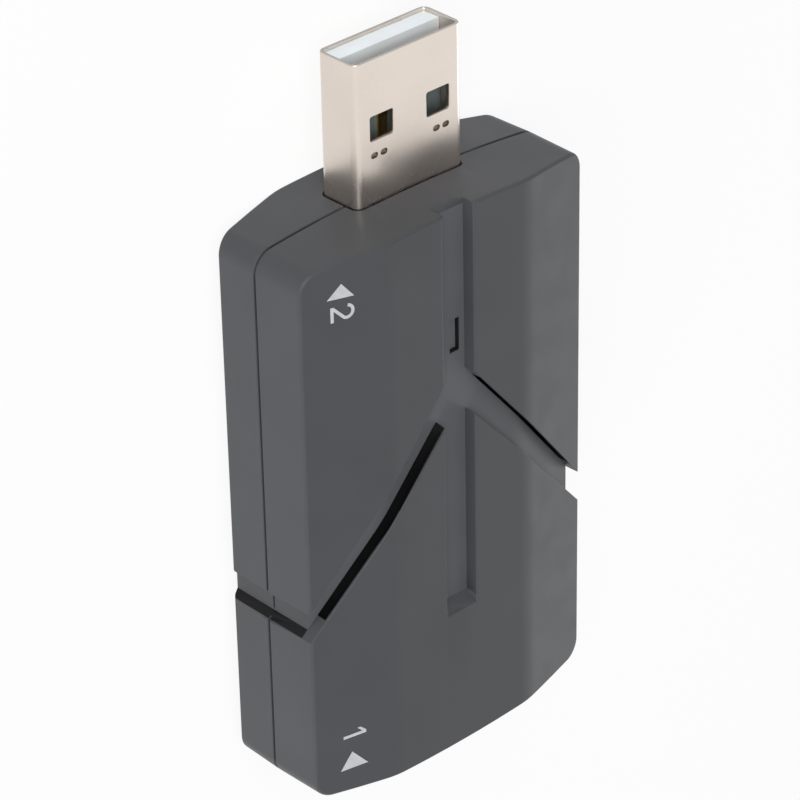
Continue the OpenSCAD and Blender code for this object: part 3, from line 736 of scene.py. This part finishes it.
class Shader:
    """A node material with one Principled shader, and short calls for the nodes that feed it."""

    def __init__(self, name, sockets):
        self.material = bpy.data.materials.new(name)
        self.material.use_nodes = True
        self.tree = self.material.node_tree
        self.surface = self.tree.nodes["Principled BSDF"]
        for socket, value in sockets.items():
            self.surface.inputs[socket].default_value = value
        self.place = self.node("ShaderNodeTexCoord").outputs["Object"]

    def node(self, kind):
        return self.tree.nodes.new(kind)

    def feed(self, socket, source):
        self.tree.links.new(source, self.surface.inputs[socket])

    def noise(self, grain, detail=2.0, stretch=(1, 1, 1)):
        """Noise whose grain is that many millimetres, drawn out along an axis by stretch."""
        mapping = self.node("ShaderNodeMapping")
        mapping.inputs["Scale"].default_value = [1 / (grain * MM * s) for s in stretch]
        texture = self.node("ShaderNodeTexNoise")
        texture.inputs["Scale"].default_value = 1.0
        texture.inputs["Detail"].default_value = detail
        self.tree.links.new(self.place, mapping.inputs["Vector"])
        self.tree.links.new(mapping.outputs["Vector"], texture.inputs["Vector"])
        return texture.outputs["Fac"]

    def span(self, source, low, high):
        """The middle of a noise's range mapped to low..high."""
        remap = self.node("ShaderNodeMapRange")
        remap.inputs["From Min"].default_value = NOISE_LOW
        remap.inputs["From Max"].default_value = NOISE_HIGH
        remap.inputs["To Min"].default_value = low
        remap.inputs["To Max"].default_value = high
        self.tree.links.new(source, remap.inputs["Value"])
        return remap.outputs["Result"]

    def tint(self, source, dark, light):
        """The middle of a noise's range mapped to a colour between two."""
        mix = self.node("ShaderNodeMix")
        mix.data_type = "RGBA"
        mix.inputs["A"].default_value = (*dark, 1)
        mix.inputs["B"].default_value = (*light, 1)
        self.tree.links.new(self.span(source, 0, 1), mix.inputs["Factor"])
        return mix.outputs["Result"]

    def bump(self, source, depth, strength):
        """Relief of that many millimetres."""
        bump = self.node("ShaderNodeBump")
        bump.inputs["Strength"].default_value = strength
        bump.inputs["Distance"].default_value = depth * MM
        self.tree.links.new(source, bump.inputs["Height"])
        self.feed("Normal", bump.outputs["Normal"])


def surface(name, dark, light, rough, cloud=3.0, grain=0.15, depth=0.004, strength=0.3, stretch=(1, 1, 1),
            **sockets):
    """Material with cloudy colour, uneven gloss and a fine relief."""
    shader = Shader(name, {key.replace("_", " "): value for key, value in sockets.items()})
    shader.feed("Base Color", shader.tint(shader.noise(cloud, 3.0, stretch), dark, light))
    shader.feed("Roughness", shader.span(shader.noise(cloud / 2, 4.0, stretch), *rough))
    shader.bump(shader.noise(grain, 2.0, stretch), depth, strength)
    return shader.material


def plug_metal():
    """Bright plate, darker on the cut edge of the sheet at its mouth."""
    shader = Shader("plug_metal", {"Metallic": 1.0})
    plate = shader.tint(shader.noise(5.0, 1.0), (0.71, 0.635, 0.57), (0.74, 0.665, 0.60))
    normal = shader.node("ShaderNodeNewGeometry").outputs["True Normal"]
    split = shader.node("ShaderNodeSeparateXYZ")
    shader.tree.links.new(normal, split.inputs["Vector"])
    cut = shader.node("ShaderNodeMix")
    cut.data_type = "RGBA"
    cut.inputs["B"].default_value = (0.42, 0.40, 0.385, 1)
    shader.tree.links.new(shader.span(split.outputs["Y"], 0, 1), cut.inputs["Factor"])
    shader.tree.links.new(plate, cut.inputs["A"])
    shader.feed("Base Color", cut.outputs["Result"])
    shader.feed("Roughness", shader.span(shader.noise(4.0, 1.0), 0.26, 0.30))
    return shader.material


def white_plastic():
    """White moulding of the plug, with painted shade that turns it grey deep inside the plug, where little
    light comes in through the windows.
    """
    shader = Shader("white_plastic", {})
    white = shader.tint(shader.noise(3.0, 3.0), (0.80, 0.855, 0.885), (0.85, 0.905, 0.935))
    split = shader.node("ShaderNodeSeparateXYZ")
    shader.tree.links.new(shader.place, split.inputs["Vector"])
    # Painted shade: deeper in the plug than SHADE_DEPTH the white fades to grey-teal
    near = shader.node("ShaderNodeMapRange")
    near.inputs["From Min"].default_value = (PLUG_TIP - SHADE_DEPTH - PAST) * MM
    near.inputs["From Max"].default_value = (PLUG_TIP - SHADE_DEPTH) * MM
    shader.tree.links.new(split.outputs["Y"], near.inputs["Value"])
    mix = shader.node("ShaderNodeMix")
    mix.data_type = "RGBA"
    mix.inputs["A"].default_value = (0.15, 0.18, 0.185, 1)
    shader.tree.links.new(near.outputs["Result"], mix.inputs["Factor"])
    shader.tree.links.new(white, mix.inputs["B"])
    shader.feed("Base Color", mix.outputs["Result"])
    shader.feed("Roughness", shader.span(shader.noise(1.5, 4.0), 0.32, 0.42))
    shader.bump(shader.noise(0.15), 0.004, 0.3)
    return shader.material


def make_materials():
    """One material for each slot of the record, the painted light on the recess floor, the painted shade in
    the vents, the notches and the case's inside, the dimples and the ink.
    """
    return {
        "case_plastic": surface("case_plastic", (0.061, 0.0628, 0.0677), (0.067, 0.0690, 0.0744),
                                (0.40, 0.48), cloud=6.0, grain=0.14, Specular_IOR_Level=0.22),
        # Painted light: a lighter copy of the case plastic for the recess floor
        "recess_floor_painted_light": surface("recess_floor_painted_light", (0.098, 0.1009, 0.1088), (0.108, 0.1111, 0.1198), (0.42, 0.50),
                               cloud=6.0, grain=0.14, Specular_IOR_Level=0.22),
        # Painted shade: near-black plastic for the vents, the case's inside and the notches' lower walls
        "case_painted_shade": surface("case_painted_shade", (0.010, 0.010, 0.0105), (0.014, 0.014, 0.0145), (0.6, 0.7),
                               Specular_IOR_Level=0.1),
        "clear_plastic": surface("clear_plastic", (0.16, 0.165, 0.17), (0.20, 0.205, 0.21), (0.12, 0.22),
                                 Transmission_Weight=0.3, IOR=1.5),
        "board_laminate": surface("board_laminate", (0.012, 0.075, 0.032), (0.020, 0.11, 0.05), (0.25, 0.35)),
        "plug_metal": plug_metal(),
        # A darker, brownish metal on the faces of the dimples
        "dimple_dark_metal": surface("dimple_dark_metal", (0.20, 0.16, 0.13), (0.28, 0.23, 0.19), (0.4, 0.5),
                                 cloud=0.5, Metallic=1.0),
        "socket_metal": surface("socket_metal", (0.60, 0.60, 0.60), (0.68, 0.68, 0.675), (0.22, 0.34),
                                cloud=0.5, grain=0.06, depth=0.001, strength=0.2, stretch=(1, 20, 1),
                                Metallic=1.0),
        "white_plastic": white_plastic(),
        "black_plastic": surface("black_plastic", (0.012, 0.012, 0.013), (0.02, 0.02, 0.021), (0.30, 0.42)),
        "gold_plate": surface("gold_plate", (0.78, 0.54, 0.21), (0.86, 0.63, 0.28), (0.18, 0.28), cloud=0.6,
                              grain=0.05, depth=0.001, Metallic=1.0),
        "chip_resin": surface("chip_resin", (0.014, 0.014, 0.015), (0.022, 0.022, 0.023), (0.45, 0.6),
                              grain=0.06),
        "tin_plate": surface("tin_plate", (0.58, 0.58, 0.59), (0.68, 0.68, 0.69), (0.25, 0.4), cloud=0.4,
                             grain=0.08, Metallic=1.0),
        "brown_ceramic": surface("brown_ceramic", (0.33, 0.21, 0.12), (0.42, 0.28, 0.17), (0.4, 0.55),
                                 cloud=0.4),
        "ferrite": surface("ferrite", (0.035, 0.035, 0.037), (0.055, 0.055, 0.057), (0.5, 0.65), cloud=0.5),
        "tantalum_resin": surface("tantalum_resin", (0.62, 0.30, 0.03), (0.72, 0.38, 0.05), (0.35, 0.45)),
        "fuse_body": surface("fuse_body", (0.015, 0.10, 0.04), (0.025, 0.14, 0.06), (0.3, 0.4)),
        "lamp_resin": surface("lamp_resin", (0.72, 0.72, 0.62), (0.80, 0.80, 0.70), (0.2, 0.3),
                              Transmission_Weight=0.2),
        "ink": surface("ink", (0.50, 0.51, 0.53), (0.57, 0.58, 0.60), (0.5, 0.6), cloud=0.8),
    }


def paint_nodes(materials):
    """Gives every node that keeps its solid the material of its slot."""
    for part in frame["record"]["subparts"]:
        obj = frame["nodes"][part["node"]]
        for place in obj.material_slots:
            place.material = materials[part["material_slot"]]


# Studio: places in millimetres, light directions as azimuth from +X and height in degrees
MIDDLE = Vector((0, 5, 6))
EYE = Vector((-192.1, 176.8, 215.4))
VIEW_RIGHT = Vector((0.7294, -0.0179, 0.6839))
VIEW_UP = Vector((0.3646, 0.8561, -0.3665))
LENS = 174.4
SENSOR = 36.0
CLIP_START = 10
FLOOR_HALF = 4000
FLOOR_GLOW = 0.9
FLOOR_COLOUR = (0.95, 0.95, 0.95, 1)
WORLD_LEVEL = 0.15
# Name, azimuth, height, distance, size and radiance, and whether glossy faces mirror it
SOFTBOXES = [
    ("key", 145, 50, 700, 450, 5.6, True),
    ("side_fill", 225, 8, 700, 450, 6.5, False),
    ("mouth_fill", 100, 15, 700, 450, 2.2, False),
    ("right_card", -30, 6, 700, 450, 1.5, True),
]


def add_camera():
    """Camera at the photograph's viewing angle."""
    data = bpy.data.cameras.new("camera")
    data.lens = LENS
    data.sensor_width = SENSOR
    data.clip_start = CLIP_START * MM
    camera = bpy.data.objects.new("camera", data)
    toward = VIEW_RIGHT.cross(VIEW_UP).normalized()
    up = toward.cross(VIEW_RIGHT).normalized()
    turn = Matrix((VIEW_RIGHT.normalized(), up, toward)).transposed()
    camera.matrix_world = Matrix.Translation(EYE * MM) @ turn.to_4x4()
    bpy.context.scene.collection.objects.link(camera)
    bpy.context.scene.camera = camera


def add_softbox(name, azimuth, height, distance, size, radiance, mirrored):
    """Square area light that looks at the object. Glossy faces show it only where it is mirrored."""
    data = bpy.data.lights.new(name, "AREA")
    data.size = size * MM
    data.energy = radiance * math.pi * data.size ** 2
    light = bpy.data.objects.new(name, data)
    light.visible_glossy = mirrored
    a = math.radians(azimuth)
    h = math.radians(height)
    toward = Vector((math.cos(a) * math.cos(h), math.sin(a) * math.cos(h), math.sin(h)))
    light.location = (MIDDLE + toward * distance) * MM
    light.rotation_euler = toward.to_track_quat("Z", "Y").to_euler()
    bpy.context.scene.collection.objects.link(light)


def seen_white(tree):
    """1 for the rays that show the background: camera, mirror and clear rays."""
    path = tree.nodes.new("ShaderNodeLightPath")
    total = None
    for ray in ("Is Camera Ray", "Is Glossy Ray", "Is Transmission Ray"):
        if total is None:
            total = path.outputs[ray]
            continue
        most = tree.nodes.new("ShaderNodeMath")
        most.operation = "MAXIMUM"
        tree.links.new(total, most.inputs[0])
        tree.links.new(path.outputs[ray], most.inputs[1])
        total = most.outputs["Value"]
    return total


def add_floor():
    """Pale floor that shows as white and keeps the object's shadow."""
    bm = bmesh.new()
    bmesh.ops.create_grid(bm, x_segments=1, y_segments=1, size=FLOOR_HALF * MM)
    floor = to_object("floor", bm)
    material = bpy.data.materials.new("floor_white")
    material.use_nodes = True
    tree = material.node_tree
    tree.nodes.remove(tree.nodes["Principled BSDF"])
    matt = tree.nodes.new("ShaderNodeBsdfDiffuse")
    matt.inputs["Color"].default_value = FLOOR_COLOUR
    glow = tree.nodes.new("ShaderNodeEmission")
    mix = tree.nodes.new("ShaderNodeMixShader")
    share = tree.nodes.new("ShaderNodeMath")
    share.operation = "MULTIPLY"
    share.inputs[1].default_value = FLOOR_GLOW
    tree.links.new(seen_white(tree), share.inputs[0])
    tree.links.new(share.outputs["Value"], mix.inputs["Fac"])
    tree.links.new(matt.outputs["BSDF"], mix.inputs[1])
    tree.links.new(glow.outputs["Emission"], mix.inputs[2])
    tree.links.new(mix.outputs["Shader"], tree.nodes["Material Output"].inputs["Surface"])
    floor.data.materials.append(material)


def set_world():
    """Soft grey studio surroundings that show as white."""
    world = bpy.data.worlds.new("studio")
    world.use_nodes = True
    bpy.context.scene.world = world
    tree = world.node_tree
    level = tree.nodes.new("ShaderNodeMapRange")
    level.inputs["To Min"].default_value = WORLD_LEVEL
    level.inputs["To Max"].default_value = 1.0
    tree.links.new(seen_white(tree), level.inputs["Value"])
    tree.links.new(level.outputs["Result"], tree.nodes["Background"].inputs["Strength"])
    tree.nodes["Background"].inputs["Color"].default_value = (1, 1, 1, 1)


def build():
    """Makes every piece, then the studio."""
    materials = make_materials()
    paint_nodes(materials)
    plastic = materials["case_plastic"]
    front_cuts = [arrow_cutter(), slot_cutter(), notch_seam_cutter(-1), notch_seam_cutter(1)]
    posts = [vent_post(side) for side in (-1, 1)]
    front = case_shell(front_body(), front_cuts, posts, "front_shell", plastic)
    paint_recess_light_and_shade(front, materials["recess_floor_painted_light"], materials["case_painted_shade"])
    back = case_shell(back_body(), [], [], "back_shell", plastic)
    paint_recess_light_and_shade(back, materials["recess_floor_painted_light"], materials["case_painted_shade"])
    plug_shell(materials["plug_metal"], materials["dimple_dark_metal"])
    port_shell(materials["socket_metal"])
    softened("plug_insulator", materials["white_plastic"], PLUG_BEVEL)
    softened("port_insulator", materials["black_plastic"], PORT_BEVEL)
    softened("light_guide", materials["clear_plastic"], GUIDE_BEVEL)
    front_print(materials["ink"])
    add_camera()
    for softbox in SOFTBOXES:
        add_softbox(*softbox)
    add_floor()
    set_world()
    bpy.context.scene.view_settings.view_transform = "Standard"


build()
